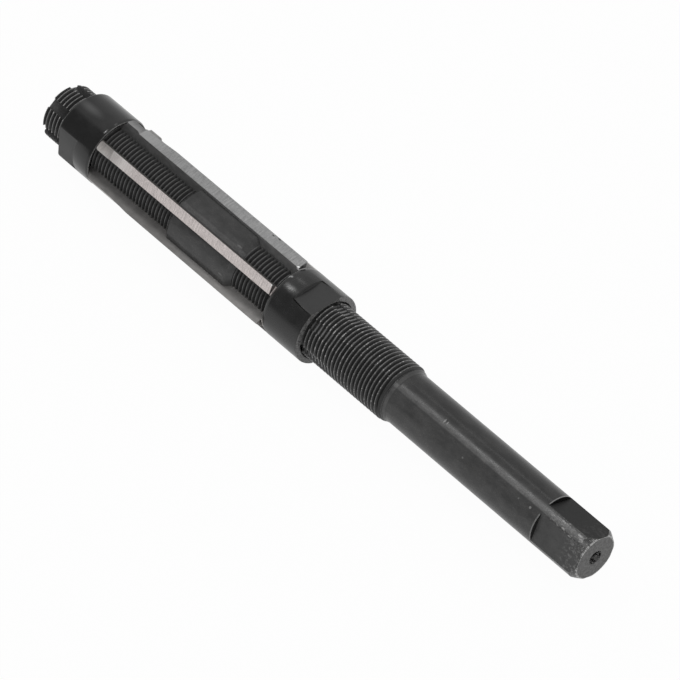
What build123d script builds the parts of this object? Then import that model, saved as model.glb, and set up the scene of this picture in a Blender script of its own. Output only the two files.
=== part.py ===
from build123d import *
import math
import os

os.makedirs("parts", exist_ok=True)

# Frame: the reamer lies along X, threaded tip at -X and square drive at +X.
# Z points up and the two lowest cutting edges touch Z = 0.
# Stations along the tool are measured from the tip end face.

# reamer body
total_length = 240.0
shank_dia = 17.5
thread_dia = 19.7
thread_pitch = 1.5
tip_face_dia = 18.4
tip_chamfer_length = 0.8
front_thread_end = 60.7
land_dia = 23.2
land_chamfer = 1.8
rear_thread_start = 90.5
rear_thread_end = 156.4
shank_taper_length = 2.9

# square drive and centre holes
square_across_flats = 14.5
square_length = 18.0
square_corner_angle = -21.0
end_chamfer_length = 2.2
end_chamfer_height = 1.3
centre_hole_mouth = 4.8
centre_hole_pilot = 2.0
centre_hole_pilot_depth = 5.5

# blades
blade_count = 6
blade_thickness = 3.2
cutting_radius = 14.0
lead_start_height = 13.3
lead_flat_end = 37.5
lead_end = 46.0
end_land_height = 12.9
end_land_length = 7.1
heel_height_front = 12.3
heel_height_rear = 12.2
blade_end_depth = 1.25
blade_end_gap = 0.5
blade_front_gap = 1.0
fully_relieved_blades = (5, 6)

# tapered slots, deep under the tip end of the blades and running out behind the rear nut
slot_taper_angle = 2.5
slot_end = 141.2
slot_run_in_length = 13.5
slot_cutter_radius = 21.0

# clamping nuts
nut_dia = 24.2
nut_length = 15.7
front_nut_station = 9.45
rear_nut_station = 107.3
nut_across_flats = 21.2
nut_flat_length = 8.6
front_nut_flat_angle = -83.3
rear_nut_flat_angle = 2.2
nut_rim_chamfer_length = 0.9
nut_rim_chamfer_height = 0.3
nut_edge_chamfer = 0.3
nut_bore_chamfer = 0.45

# clearances
slot_side_clearance = 0.05
slot_floor_clearance = 0.05
nut_bore_clearance = 0.08
cup_clearance = 0.2

# derived values
blade_half = blade_thickness / 2
cutting_height = math.sqrt(cutting_radius ** 2 - blade_half ** 2)
leading_angle = math.degrees(math.asin(blade_half / cutting_radius))
blade_pitch_angle = 360 / blade_count
axis_height = cutting_radius * math.cos(math.radians(blade_pitch_angle / 2))
slot_slope = math.tan(math.radians(slot_taper_angle))
slot_width = blade_thickness + 2 * slot_side_clearance
nut_bore_radius = thread_dia / 2 + nut_bore_clearance
front_rim = front_nut_station + nut_length
rear_rim = rear_nut_station
blade_bevel_height = nut_bore_radius + blade_end_depth
blade_front_end = front_rim - blade_end_depth
blade_rear_end = rear_rim + blade_end_depth
blade_front_face = front_rim + blade_front_gap
blade_rear_face = rear_rim - blade_end_gap
blade_shoulder_height = blade_bevel_height + blade_end_gap
blade_front_shoulder = blade_bevel_height + blade_front_gap
cup_rim_radius = math.hypot(blade_bevel_height, blade_half) + cup_clearance
cup_depth = cup_rim_radius - nut_bore_radius
end_land_end = front_rim + end_land_length
square_start = total_length - square_length


def station(s):
    return s - total_length / 2


def floor_height(s):
    return thread_dia / 2 - slot_slope * (slot_end - s)


def place(shape, angle):
    turned = shape.rotate(Axis.X, -angle)
    return turned.translate((0, 0, axis_height))


def side_profile(points, width):
    outline = Plane.XZ * Polyline(*[(station(s), h) for s, h in points], close=True)
    return extrude(make_face(outline), amount=width / 2, both=True)


def turned_solid(points):
    outline = Plane.XZ * Polyline(*[(station(s), r) for s, r in points], close=True)
    return revolve(make_face(outline), Axis.X)


def cross_section(s, corners):
    plane = Plane(origin=(station(s), 0, 0), x_dir=(0, 1, 0), z_dir=(1, 0, 0))
    return plane * make_face(Polyline(*corners, close=True))


# reamer body turned from one bar
shank_radius = shank_dia / 2
thread_radius = thread_dia / 2
land_radius = land_dia / 2
body_outline = [
    (0, 0),
    (0, tip_face_dia / 2),
    (tip_chamfer_length, thread_radius),
    (front_thread_end, thread_radius),
    (front_thread_end + land_chamfer, land_radius),
    (rear_thread_start - land_chamfer, land_radius),
    (rear_thread_start, thread_radius),
    (rear_thread_end, thread_radius),
    (rear_thread_end + shank_taper_length, shank_radius),
    (total_length - end_chamfer_length, shank_radius),
    (total_length, shank_radius - end_chamfer_height),
    (total_length, 0),
]
body = turned_solid(body_outline)

# one slot: the cutter dips in behind the tip, then climbs at the taper angle until it runs out
taper = math.radians(slot_taper_angle)
slot_top = land_radius + 2
before_tip = -1.0
past_end = slot_end + 1.0
arc_centre_s = slot_run_in_length - slot_cutter_radius * math.sin(taper)
arc_centre_h = floor_height(slot_run_in_length) + slot_cutter_radius * math.cos(taper)


def run_in_height(s):
    return arc_centre_h - math.sqrt(slot_cutter_radius ** 2 - (s - arc_centre_s) ** 2)


arc_start = (station(before_tip), run_in_height(before_tip))
arc_middle = (station(slot_run_in_length / 2), run_in_height(slot_run_in_length / 2))
floor_start = (station(slot_run_in_length), floor_height(slot_run_in_length))
floor_finish = (station(past_end), floor_height(past_end))
slot_edges = [
    ThreePointArc(arc_start, arc_middle, floor_start),
    Line(floor_start, floor_finish),
    Line(floor_finish, (station(past_end), slot_top)),
    Line((station(past_end), slot_top), (station(before_tip), slot_top)),
    Line((station(before_tip), slot_top), arc_start),
]
slot_face = make_face(Plane.XZ * Curve(slot_edges))
slot_cutter = extrude(slot_face, amount=slot_width / 2, both=True)

# the cutting edge leads the middle of its blade, so the middles sit back by that angle
first_blade_angle = -blade_pitch_angle / 2 - leading_angle
blade_angles = [first_blade_angle + i * blade_pitch_angle for i in range(blade_count)]
for angle in blade_angles:
    body = body - slot_cutter.rotate(Axis.X, -angle)

# square drive: four flats milled up to a square shoulder
flat_depth = shank_radius - square_across_flats / 2
flat_block = Box(square_length + 2, shank_dia + 2, flat_depth + 2)
flat_x = station(square_start) + (square_length + 2) / 2
flat_z = square_across_flats / 2 + (flat_depth + 2) / 2
flat_block = flat_block.translate((flat_x, 0, flat_z))
for i in range(4):
    flat_angle = square_corner_angle + 45 + 90 * i
    body = body - flat_block.rotate(Axis.X, -flat_angle)

# centre holes in both ends
countersink_depth = (centre_hole_mouth - centre_hole_pilot) / 2 / math.tan(math.radians(30))
centre_hole = [
    (0, 0),
    (0, centre_hole_mouth / 2),
    (countersink_depth, centre_hole_pilot / 2),
    (centre_hole_pilot_depth, centre_hole_pilot / 2),
    (centre_hole_pilot_depth, 0),
]
tip_centre = turned_solid(centre_hole)
drive_centre = turned_solid([(total_length - s, r) for s, r in centre_hole])
body = body - tip_centre - drive_centre
body = body.translate((0, 0, axis_height))
body.label = "reamer_body"


# clamping nuts: cup for the blade ends on one side, two wrench flats on the other
def make_nut(flat_angle):
    outer = nut_dia / 2
    profile = [
        (0, nut_bore_radius + nut_bore_chamfer),
        (0, outer - nut_edge_chamfer),
        (nut_edge_chamfer, outer),
        (nut_length - nut_rim_chamfer_length, outer),
        (nut_length, outer - nut_rim_chamfer_height),
        (nut_length, cup_rim_radius),
        (nut_length - cup_depth, nut_bore_radius),
        (nut_bore_chamfer, nut_bore_radius),
    ]
    nut = revolve(make_face(Plane.XZ * Polyline(*profile, close=True)), Axis.X)
    cut_height = outer - nut_across_flats / 2 + 1
    block = Box(nut_flat_length + 1, nut_dia + 2, cut_height)
    block = block.translate(((nut_flat_length - 1) / 2, 0, nut_across_flats / 2 + cut_height / 2))
    for side in (0, 180):
        nut = nut - block.rotate(Axis.X, -(flat_angle + side))
    return nut


front_nut = make_nut(front_nut_flat_angle)
front_nut = front_nut.translate((station(front_nut_station), 0, axis_height))
front_nut.label = "front_nut"

rear_nut = make_nut(-rear_nut_flat_angle).rotate(Axis.Z, 180)
rear_nut = rear_nut.translate((station(rear_nut_station + nut_length), 0, axis_height))
rear_nut.label = "rear_nut"


# blades: square ends with a bevelled foot that reaches into the cups, cut back behind the cutting edge
def make_blade(relieved_from_end):
    bottom = slot_floor_clearance
    profile = [
        (blade_front_end, floor_height(blade_front_end) + bottom),
        (blade_rear_end, floor_height(blade_rear_end) + bottom),
        (blade_rear_end, nut_bore_radius),
        (blade_rear_face, blade_shoulder_height),
        (blade_rear_face, cutting_height),
        (lead_end, cutting_height),
        (lead_flat_end, lead_start_height),
        (end_land_end, lead_start_height),
        (end_land_end - 0.4, end_land_height),
        (blade_front_face, end_land_height),
        (blade_front_face, blade_front_shoulder),
        (blade_front_end, nut_bore_radius),
    ]
    blank = side_profile(profile, blade_thickness)

    def relieved(s, top):
        share = (s - end_land_end) / (blade_rear_end - end_land_end)
        heel = heel_height_front + (heel_height_rear - heel_height_front) * share
        corners = [(-blade_half, 0), (blade_half, 0), (blade_half, top), (-blade_half, heel)]
        return cross_section(s, corners)

    def unrelieved(s):
        top = end_land_height + 0.5
        corners = [(-blade_half, 0), (blade_half, 0), (blade_half, top), (-blade_half, top)]
        return cross_section(s, corners)

    rear = blade_rear_end + 1
    if relieved_from_end:
        starts = [relieved(blade_front_end - 1, lead_start_height)]
    else:
        starts = [unrelieved(blade_front_end - 1), unrelieved(end_land_end - 0.8)]
    sections = starts + [
        relieved(end_land_end, lead_start_height),
        relieved(lead_flat_end, lead_start_height),
        relieved(lead_end, cutting_height),
        relieved(rear, cutting_height),
    ]
    envelope = loft(sections, ruled=True)
    return blank & envelope


blades = []
for i, angle in enumerate(blade_angles):
    number = i + 1
    blade = place(make_blade(number in fully_relieved_blades), angle)
    blade.label = f"blade_{number}"
    blades.append(blade)

for piece in [body, front_nut, rear_nut] + blades:
    solid = piece.solids()[0]
    solid.label = piece.label
    export_step(solid, f"parts/{piece.label}.step")
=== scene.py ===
"""Dresses the adjustable hand reamer: threads, slots, ground blades and blackened steel."""

import logging
import math
from collections.abc import Callable, Iterable
from dataclasses import dataclass
from enum import Enum

import bmesh
import bpy
from mathutils import Matrix, Vector

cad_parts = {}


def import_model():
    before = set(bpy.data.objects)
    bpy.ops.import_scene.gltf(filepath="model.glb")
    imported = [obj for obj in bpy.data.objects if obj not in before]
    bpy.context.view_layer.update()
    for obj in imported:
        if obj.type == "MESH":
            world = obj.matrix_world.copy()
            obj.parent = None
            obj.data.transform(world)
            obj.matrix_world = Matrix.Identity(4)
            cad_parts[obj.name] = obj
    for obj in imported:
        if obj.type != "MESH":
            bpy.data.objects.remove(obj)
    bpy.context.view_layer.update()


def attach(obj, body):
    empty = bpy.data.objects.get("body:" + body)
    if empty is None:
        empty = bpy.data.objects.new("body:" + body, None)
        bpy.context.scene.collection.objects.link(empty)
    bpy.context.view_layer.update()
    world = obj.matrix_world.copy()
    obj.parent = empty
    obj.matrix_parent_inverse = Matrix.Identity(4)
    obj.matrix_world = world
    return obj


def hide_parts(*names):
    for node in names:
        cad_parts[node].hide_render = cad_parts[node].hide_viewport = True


LOG = logging.getLogger("hand_reamer")
MILLIMETRE = 0.001
TAU = math.tau

# distances in millimetres under which a point counts as on a plane, or two points as one
NEAR = 1e-3
SLIVER = 1e-4

# angles in degrees over which an edge stays crisp
CRISP_STEEL = 24.0
CRISP_BLADE = 20.0

# types
Triple = tuple[float, float, float]
Colour = Triple
Line = list[tuple[float, float]]
NutMark = tuple[float, float, Triple, float]
BladeMark = tuple[Triple, Triple, float]
Socket = bpy.types.NodeSocket
Mesh = bmesh.types.BMesh
Edge = bmesh.types.BMEdge
Vert = bmesh.types.BMVert


class Cut(Enum):
    """Material numbers of the faces that a cut leaves."""

    NONE = 0
    FIRST = 1
    SECOND = 2


def grey(value: float) -> Colour:
    """A neutral colour."""
    return (value, value, value)


def scaled(colour: Colour, factor: float) -> Colour:
    """A colour made lighter or darker."""
    return tuple(min(1.0, part * factor) for part in colour)


def around(station: float, angle: float, radius: float) -> Triple:
    """A point from its station, its angle in degrees about the axis and its radius."""
    turn = math.radians(angle)
    return (station, radius * math.sin(turn), radius * math.cos(turn))


@dataclass(frozen=True)
class ToolSizes:
    """Sizes shared by the body, the nuts and the blades, in millimetres from the tip face."""

    length: float = 240.0
    pitch: float = 1.5
    crest_radius: float = 9.85
    root_radius: float = 8.93
    land_radius: float = 11.6
    shank_radius: float = 8.75
    cutting_radius: float = 14.0
    blade_thickness: float = 3.2
    blade_count: int = 6
    slot_width: float = 3.3
    slot_slope: float = math.tan(math.radians(2.5))
    slot_end: float = 141.2
    bore_radius: float = 9.93
    front_rim: float = 25.15
    rear_rim: float = 107.3
    blade_end_depth: float = 1.25
    blade_end_gap: float = 0.5
    blade_front_gap: float = 1.0

    @property
    def axis_height(self) -> float:
        """Height of the tool's axis over the surface it lies on."""
        return self.cutting_radius * math.cos(math.pi / self.blade_count)

    @property
    def lead_angle(self) -> float:
        """Angle in degrees from a blade's middle to its cutting edge."""
        return math.degrees(math.asin(self.blade_thickness / 2 / self.cutting_radius))

    def blade_angle(self, index: int) -> float:
        """Angle in degrees of a blade's middle, from straight up towards +Y."""
        return -180 / self.blade_count - self.lead_angle + index * 360 / self.blade_count

    def floor_height(self, station: float) -> float:
        """Height of a slot's straight floor over the axis at a station."""
        return self.crest_radius - self.slot_slope * (self.slot_end - station)


TOOL = ToolSizes()

# fineness, detail and roughness of the noise that breaks up rubbed edges and the painted highlight strip
# along the shank
SPECKLE = (2.2, 4.0, 0.65)

# small marks on the shank, the square and the land: station, angle, radius, half size and colour
NICKS = (
    (178.3, -15.6, 8.75, (0.28, 0.9, 0.9), (0.3, 0.298, 0.295)),
    (178.9, -15.0, 8.75, (0.22, 1.0, 1.0), grey(0.01)),
    (179.5, -15.4, 8.75, (0.2, 0.7, 0.7), (0.3, 0.298, 0.295)),
    (190.5, -48.0, 8.75, (0.4, 0.4, 0.4), grey(0.2)),
    (218.0, -37.0, 8.75, (0.5, 0.5, 0.5), (0.3, 0.298, 0.295)),
    (213.2, -38.0, 8.75, (0.35, 0.35, 0.35), grey(0.18)),
    (237.3, -23.0, 8.75, (0.9, 0.6, 0.7), (0.5, 0.497, 0.49)),
    (236.2, -17.0, 8.75, (1.2, 0.35, 0.5), (0.4, 0.397, 0.39)),
    (230.5, -27.0, 8.75, (0.8, 0.3, 0.4), (0.45, 0.447, 0.44)),
    (87.8, -18.0, 11.6, (1.4, 0.4, 0.4), (0.15, 0.149, 0.148)),
    (87.0, -72.0, 11.6, (1.2, 0.4, 0.4), (0.15, 0.149, 0.148)),
)

# painted light and shade that make the blades differ from the plain finish, by their number: lighter and
# darker lands, ends and sides, painted light on the lead, on the upper sides and towards the rear, and
# painted glints at the rear ends; blades 2 and 6 are also less mottled, and blade 2 has two dark marks on its
# edge
BLADE_PAINTED_LIGHT = {
    1: {
        "land": (0.7, 0.64, 0.622),
        "end": (0.82, 0.775, 0.745),
        "lead_painted_light": 1.32,
        # painted glint at the rear end
        "marks": (((106.7, 1.5, 13.8), (0.4, 0.5, 0.5), 0.95),),
    },
    2: {
        "land": grey(0.35),
        "end": grey(0.275),
        "lead_painted_light": 1.12,
        "trailing_side": grey(0.19),
        "mottle": 0.12,
        "rear_painted_light": 1.35,
        "marks": (
            # painted glint at the rear end; the two marks after it are dark marks on the edge
            ((106.5, -1.55, 12.2), (0.75, 0.7, 0.85), 1.0),
            ((91.9, 1.0, 13.7), (0.6, 0.22, 0.6), 0.05),
            ((94.3, 1.3, 13.8), (0.7, 0.25, 0.6), 0.04),
        ),
    },
    3: {"trailing_side": (0.2, 0.198, 0.195), "upper_painted_light": 1.8},
    6: {"leading_side": (0.135, 0.131, 0.128), "mottle": 0.08, "upper_painted_light": 1.8, "rear_painted_light": 1.4},
}


class Workshop:
    """Small helpers that work on one bmesh in millimetres along the tool's own axis."""

    @staticmethod
    def lies_at(edge: Edge, station: float) -> bool:
        """Says whether an edge lies at a station."""
        return all(abs(v.co.x - station) < NEAR for v in edge.verts)

    @staticmethod
    def open_rim(bm: Mesh, station: float) -> list[Edge]:
        """The open edges that lie at a station."""
        return [e for e in bm.edges if e.is_boundary and Workshop.lies_at(e, station)]

    @staticmethod
    def grow(bm: Mesh, station: float, points: Iterable[tuple[float, float]]) -> None:
        """Extrudes the open rim at a station along a line of stations and radii.

        Args:
            bm: The mesh.
            station: Station of the open rim to start from.
            points: Stations and radii to pass; a radius of zero closes the skin on the axis.
        """
        rim = Workshop.open_rim(bm, station)
        for s, radius in points:
            grown = bmesh.ops.extrude_edge_only(bm, edges=rim)["geom"]
            rim = [g for g in grown if isinstance(g, Edge)]
            for vert in {v for e in rim for v in e.verts}:
                angle = math.atan2(vert.co.y, vert.co.z)
                vert.co = (s, radius * math.sin(angle), radius * math.cos(angle))
        if radius == 0.0:
            bmesh.ops.remove_doubles(bm, verts=list({v for e in rim for v in e.verts}), dist=SLIVER)

    @staticmethod
    def thread_skin(start: float, end: float, tooth: Line, pitch: float, steps: int) -> Mesh:
        """Winds one tooth into a right-hand thread and trims both ends square.

        Args:
            start: First station.
            end: Last station.
            tooth: The tooth's line over exactly one pitch, as offset and radius.
            pitch: Travel of one turn.
            steps: Facets in one turn.

        Returns:
            The thread's skin, open at both ends.
        """
        bm = bmesh.new()
        first = start - 1.5 * pitch
        verts = [bm.verts.new((first + s, 0.0, r)) for s, r in tooth]
        geom = verts + [bm.edges.new(pair) for pair in zip(verts, verts[1:])]
        winding = {"cent": (0, 0, 0), "axis": (1, 0, 0), "angle": TAU, "steps": steps, "use_merge": False}
        bmesh.ops.spin(bm, geom=geom, dvec=Vector((pitch / steps, 0, 0)), **winding)
        one_turn = bm.verts[:] + bm.edges[:] + bm.faces[:]
        for turn in range(1, math.ceil((end - start) / pitch) + 3):
            copied = bmesh.ops.duplicate(bm, geom=one_turn)["geom"]
            verts = [g for g in copied if isinstance(g, Vert)]
            bmesh.ops.translate(bm, verts=verts, vec=(pitch * turn, 0, 0))
        bmesh.ops.remove_doubles(bm, verts=bm.verts[:], dist=NEAR)
        Workshop.trim(bm, (start, 0, 0), (-1, 0, 0))
        Workshop.trim(bm, (end, 0, 0), (1, 0, 0))
        return bm

    @staticmethod
    def trim(bm: Mesh, point: tuple, outward: tuple, keep: bool = False) -> None:
        """Cuts the mesh at a plane, and drops what lies outside unless it is kept.

        Args:
            bm: The mesh.
            point: A point of the plane.
            outward: Direction that points out of what stays.
            keep: Whether the outside stays too, so that the plane only adds an edge ring.
        """
        geom = bm.verts[:] + bm.edges[:] + bm.faces[:]
        plane = {"plane_co": point, "plane_no": outward, "clear_outer": not keep}
        bmesh.ops.bisect_plane(bm, geom=geom, dist=SLIVER / 10, **plane)

    @staticmethod
    def limit_radius(bm: Mesh, limit: Callable[[float], float]) -> None:
        """Turns the mesh down to a largest radius that depends on the station.

        Args:
            bm: The mesh.
            limit: Gives the largest radius at a station.
        """
        for vert in bm.verts:
            radius = math.hypot(vert.co.y, vert.co.z)
            allowed = limit(vert.co.x)
            if radius > allowed:
                vert.co.y *= allowed / radius
                vert.co.z *= allowed / radius

    @staticmethod
    def join(parts: list[Mesh]) -> Mesh:
        """Puts several skins in one mesh.

        Args:
            parts: The skins, which are freed.

        Returns:
            The mesh that holds them all.
        """
        whole = bmesh.new()
        for part in parts:
            scratch = bpy.data.meshes.new("scratch")
            part.to_mesh(scratch)
            part.free()
            whole.from_mesh(scratch)
            bpy.data.meshes.remove(scratch)
        return whole

    @staticmethod
    def bridge(bm: Mesh, first: float, second: float) -> None:
        """Closes the gap between the open rims at two stations."""
        bmesh.ops.bridge_loops(bm, edges=Workshop.open_rim(bm, first) + Workshop.open_rim(bm, second))

    @staticmethod
    def prism(points: Iterable[tuple[float, float]], width: float) -> Mesh:
        """Extrudes a closed side outline to both sides of the upright plane.

        Args:
            points: Stations and heights.
            width: Full width across the plane.

        Returns:
            The closed prism.
        """
        bm = bmesh.new()
        face = bm.faces.new([bm.verts.new((s, -width / 2, h)) for s, h in points])
        grown = bmesh.ops.extrude_face_region(bm, geom=[face])["geom"]
        verts = [g for g in grown if isinstance(g, Vert)]
        bmesh.ops.translate(bm, verts=verts, vec=(0, width, 0))
        bmesh.ops.recalc_face_normals(bm, faces=bm.faces[:])
        return bm

    @staticmethod
    def turned_to(bm: Mesh, angle: float) -> Mesh:
        """Turns a mesh from straight up to an angle towards +Y, in degrees.

        Args:
            bm: The mesh.
            angle: Angle in degrees.

        Returns:
            The same mesh.
        """
        matrix = Matrix.Rotation(-math.radians(angle), 3, "X")
        bmesh.ops.rotate(bm, cent=(0, 0, 0), matrix=matrix, verts=bm.verts[:])
        return bm

    @staticmethod
    def cut(bm: Mesh, cutter: Mesh, material: Cut) -> Mesh:
        """Takes a cutter's volume out of a closed mesh.

        Args:
            bm: The closed mesh to cut.
            cutter: The closed cutter.
            material: Material number for the cut faces.

        Returns:
            The cut mesh.
        """
        for face in cutter.faces:
            face.material_index = material.value
        objects = []
        for part, name in ((bm, "cut_part"), (cutter, "cut_tool")):
            mesh = bpy.data.meshes.new(name)
            for _ in Cut:
                mesh.materials.append(None)
            part.to_mesh(mesh)
            part.free()
            obj = bpy.data.objects.new(name, mesh)
            bpy.context.scene.collection.objects.link(obj)
            objects.append(obj)
        target, tool = objects
        modifier = target.modifiers.new("cut", "BOOLEAN")
        modifier.operation = "DIFFERENCE"
        modifier.solver = "EXACT"
        modifier.object = tool
        bpy.context.view_layer.update()
        evaluated = target.evaluated_get(bpy.context.evaluated_depsgraph_get())
        result = bmesh.new()
        result.from_mesh(evaluated.to_mesh())
        evaluated.to_mesh_clear()
        for obj in objects:
            mesh = obj.data
            bpy.data.objects.remove(obj)
            bpy.data.meshes.remove(mesh)
        bmesh.ops.remove_doubles(result, verts=result.verts[:], dist=SLIVER)
        bmesh.ops.dissolve_degenerate(result, dist=SLIVER, edges=result.edges[:])
        return result

    @staticmethod
    def ease(bm: Mesh, chosen: Callable[[Edge], bool], width: float, segments: int = 2) -> int:
        """Rounds the sharp edges that a test picks.

        Args:
            bm: The mesh.
            chosen: Says for an edge whether it is rounded.
            width: Width of the rounding on each side.
            segments: Facets across the rounding.

        Returns:
            How many edges were rounded.
        """
        edges = [e for e in bm.edges if len(e.link_faces) == 2 and chosen(e)]
        bmesh.ops.bevel(bm, geom=edges, offset=width, offset_type="OFFSET", segments=segments, profile=0.5,
                        affect="EDGES", clamp_overlap=True, material=-1)
        return len(edges)


class Piece:
    """A finished mesh piece in the row frame that stands for one node of the frame."""

    @staticmethod
    def place(
        bm: Mesh, node: str, slot: str, materials: list[bpy.types.Material], sharp: float
    ) -> bpy.types.Object:
        """Makes the object, in metres and in its place, and ties it to its node.

        Args:
            bm: The closed mesh in millimetres, freed here.
            node: The frame's node and body that the piece stands for.
            slot: The record's material slot; not used.
            materials: The piece's materials, in order.
            sharp: Angle in degrees over which an edge stays crisp.

        Returns:
            The finished object.
        """
        bmesh.ops.recalc_face_normals(bm, faces=bm.faces[:])
        for face in bm.faces:
            face.smooth = True
        matrix = Matrix.Translation((-TOOL.length / 2 * MILLIMETRE, 0, TOOL.axis_height * MILLIMETRE))
        bm.transform(matrix @ Matrix.Scale(MILLIMETRE, 4))
        open_edges = sum(1 for e in bm.edges if len(e.link_faces) != 2)
        mesh = bpy.data.meshes.new(node + "_mesh")
        bm.to_mesh(mesh)
        bm.free()
        for material in materials:
            mesh.materials.append(material)
        mesh.set_sharp_from_angle(angle=math.radians(sharp))
        obj = bpy.data.objects.new(node + "_dressed", mesh)
        bpy.context.scene.collection.objects.link(obj)
        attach(obj, node)
        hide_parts(node)
        LOG.info("%s: %d faces, %d open edges", obj.name, len(mesh.polygons), open_edges)
        return obj


class NodeBench:
    """Builds one node tree, node by node."""

    def __init__(self, owner: bpy.types.ID) -> None:
        """Empties the node tree of a material or a world.

        Args:
            owner: The material or world.
        """
        owner.use_nodes = True
        self.tree = owner.node_tree
        self.tree.nodes.clear()

    def add(self, kind: str, *inputs: object, **settings: object) -> bpy.types.Node:
        """Adds a node, sets its properties and feeds its first inputs.

        Args:
            kind: The node's type, without the prefix.
            *inputs: Values or sockets for its first inputs.
            **settings: Its properties.

        Returns:
            The node.
        """
        node = self.tree.nodes.new("ShaderNode" + kind)
        for key, value in settings.items():
            setattr(node, key, value)
        for socket, value in zip(node.inputs, inputs):
            self.feed(socket, value)
        return node

    def feed(self, socket: Socket, value: object) -> None:
        """Links another socket to a socket, or sets the socket to a value.

        Args:
            socket: The input to fill.
            value: Another socket, or a value.
        """
        if isinstance(value, Socket):
            self.tree.links.new(value, socket)
        elif socket.type == "RGBA" and len(value) == 3:
            socket.default_value = value + (1.0,)
        else:
            socket.default_value = value

    def math(self, operation: str, *values: object, clamp: bool = False) -> Socket:
        """Adds a sum or comparison and returns its output."""
        return self.add("Math", *values, operation=operation, use_clamp=clamp).outputs[0]

    def plus(self, first: object, second: object, clamp: bool = False) -> Socket:
        """The sum of two values, held between zero and one if clamped."""
        return self.math("ADD", first, second, clamp=clamp)

    def times(self, value: object, *factors: object) -> Socket:
        """The product of values, in their order.

        Args:
            value: The first value.
            *factors: The values that follow.

        Returns:
            The product.
        """
        for factor in factors:
            value = self.math("MULTIPLY", value, factor)
        return value

    def ramp(
        self, value: object, low: float, high: float, to_low: float = 0.0, to_high: float = 1.0
    ) -> Socket:
        """Maps a span smoothly onto another and returns the output."""
        settings = {"interpolation_type": "SMOOTHSTEP", "clamp": True}
        return self.add("MapRange", value, low, high, to_low, to_high, **settings).outputs[0]

    def window(self, value: Socket, low: float, high: float, soft: float) -> Socket:
        """One between two values and zero outside, with soft ends."""
        return self.times(self.ramp(value, low - soft, low), self.ramp(value, high, high + soft, 1.0, 0.0))

    def wrap(self, value: Socket, reach: float) -> Socket:
        """A value brought between minus and plus a reach by whole spans."""
        return self.math("WRAP", value, reach, -reach)

    def blend(self, factor: object, first: object, second: object) -> Socket:
        """Mixes two colours and returns the output.

        Args:
            factor: Share of the second colour.
            first: First colour.
            second: Second colour.

        Returns:
            The mix.
        """
        node = self.add("Mix", factor, data_type="RGBA")
        self.feed(node.inputs[6], first)
        self.feed(node.inputs[7], second)
        return node.outputs[2]

    def tint(self, colour: object, factor: object) -> Socket:
        """Multiplies a colour by a grey factor and returns the output.

        Args:
            colour: The colour.
            factor: Grey factor.

        Returns:
            The tinted colour.
        """
        node = self.add("VectorMath", colour, operation="SCALE")
        self.feed(node.inputs["Scale"], factor)
        return node.outputs[0]

    def split(self, vector: Socket) -> tuple[Socket, Socket, Socket]:
        """The three parts of a vector."""
        return tuple(self.add("SeparateXYZ", vector).outputs)

    def stretch(self, vector: Socket, scale: Triple) -> Socket:
        """A vector scaled part by part."""
        return self.add("VectorMath", vector, scale, operation="MULTIPLY").outputs[0]

    def noise(self, place: Socket, fineness: Triple | float, detail: float, roughness: float) -> Socket:
        """Noise in the range around one half, finer along the parts with the larger fineness.

        Args:
            place: Coordinates in millimetres.
            fineness: Repeats in a millimetre, one for all directions or three.
            detail: How many finer layers it has.
            roughness: How strong they are.

        Returns:
            The noise.
        """
        scale = (fineness,) * 3 if isinstance(fineness, float) else fineness
        node = self.add("TexNoise", self.stretch(place, scale))
        for name, number in (("Scale", 1.0), ("Detail", detail), ("Roughness", roughness)):
            node.inputs[name].default_value = number
        return node.outputs["Fac"]

    def spot(self, place: Socket, centre: Triple, size: Triple, core: float = 0.55) -> Socket:
        """One inside a small soft ellipsoid and zero outside.

        Args:
            place: Coordinates in millimetres.
            centre: Centre of the spot in them.
            size: Half lengths along the three directions.
            core: Share of the half lengths that stays full.

        Returns:
            The mask.
        """
        shift = self.add("VectorMath", place, centre, operation="SUBTRACT").outputs[0]
        inside = self.stretch(shift, tuple(1 / part for part in size))
        length = self.add("VectorMath", inside, operation="LENGTH").outputs["Value"]
        return self.ramp(length, core, 1.0, 1.0, 0.0)

    def axis_frame(self, angle: float = 0.0) -> Socket:
        """Object coordinates in millimetres about the tool's axis, turned to an angle.

        Args:
            angle: Angle in degrees from straight up towards +Y that becomes the local upright.

        Returns:
            The mapped coordinates: station, sideways and height.
        """
        offset = (TOOL.length / 2 * MILLIMETRE, 0, -TOOL.axis_height * MILLIMETRE)
        shift = self.add("VectorMath", self.add("TexCoord").outputs["Object"], offset, operation="ADD")
        mapping = self.add("Mapping", shift.outputs[0])
        mapping.inputs["Rotation"].default_value = (math.radians(angle), 0, 0)
        mapping.inputs["Scale"].default_value = (1 / MILLIMETRE,) * 3
        return mapping.outputs["Vector"]


class SurfaceBench(NodeBench):
    """Builds one procedural material around a surface shader."""

    def __init__(self, name: str) -> None:
        """Starts the material with its shader and output.

        Args:
            name: Name of the material.
        """
        self.material = bpy.data.materials.new(name)
        super().__init__(self.material)
        self.shader = self.add("BsdfPrincipled")
        self.add("OutputMaterial", self.shader.outputs["BSDF"])

    def finish(
        self, colour: Socket, roughness: Socket, specular: float, relief: Socket, depth: float
    ) -> None:
        """Feeds the shader.

        Args:
            colour: Base colour.
            roughness: Roughness.
            specular: Specular level, the same all over unless it has been linked before.
            relief: Height that bumps the surface.
            depth: Depth of the bump in metres at full height.
        """
        bump = self.add("Bump")
        for name, value in (("Strength", 1.0), ("Distance", depth), ("Height", relief)):
            self.feed(bump.inputs[name], value)
        shader_inputs = {"Base Color": colour, "Roughness": roughness, "Specular IOR Level": specular}
        for name, value in (shader_inputs | {"Normal": bump.outputs["Normal"]}).items():
            self.feed(self.shader.inputs[name], value)


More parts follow.
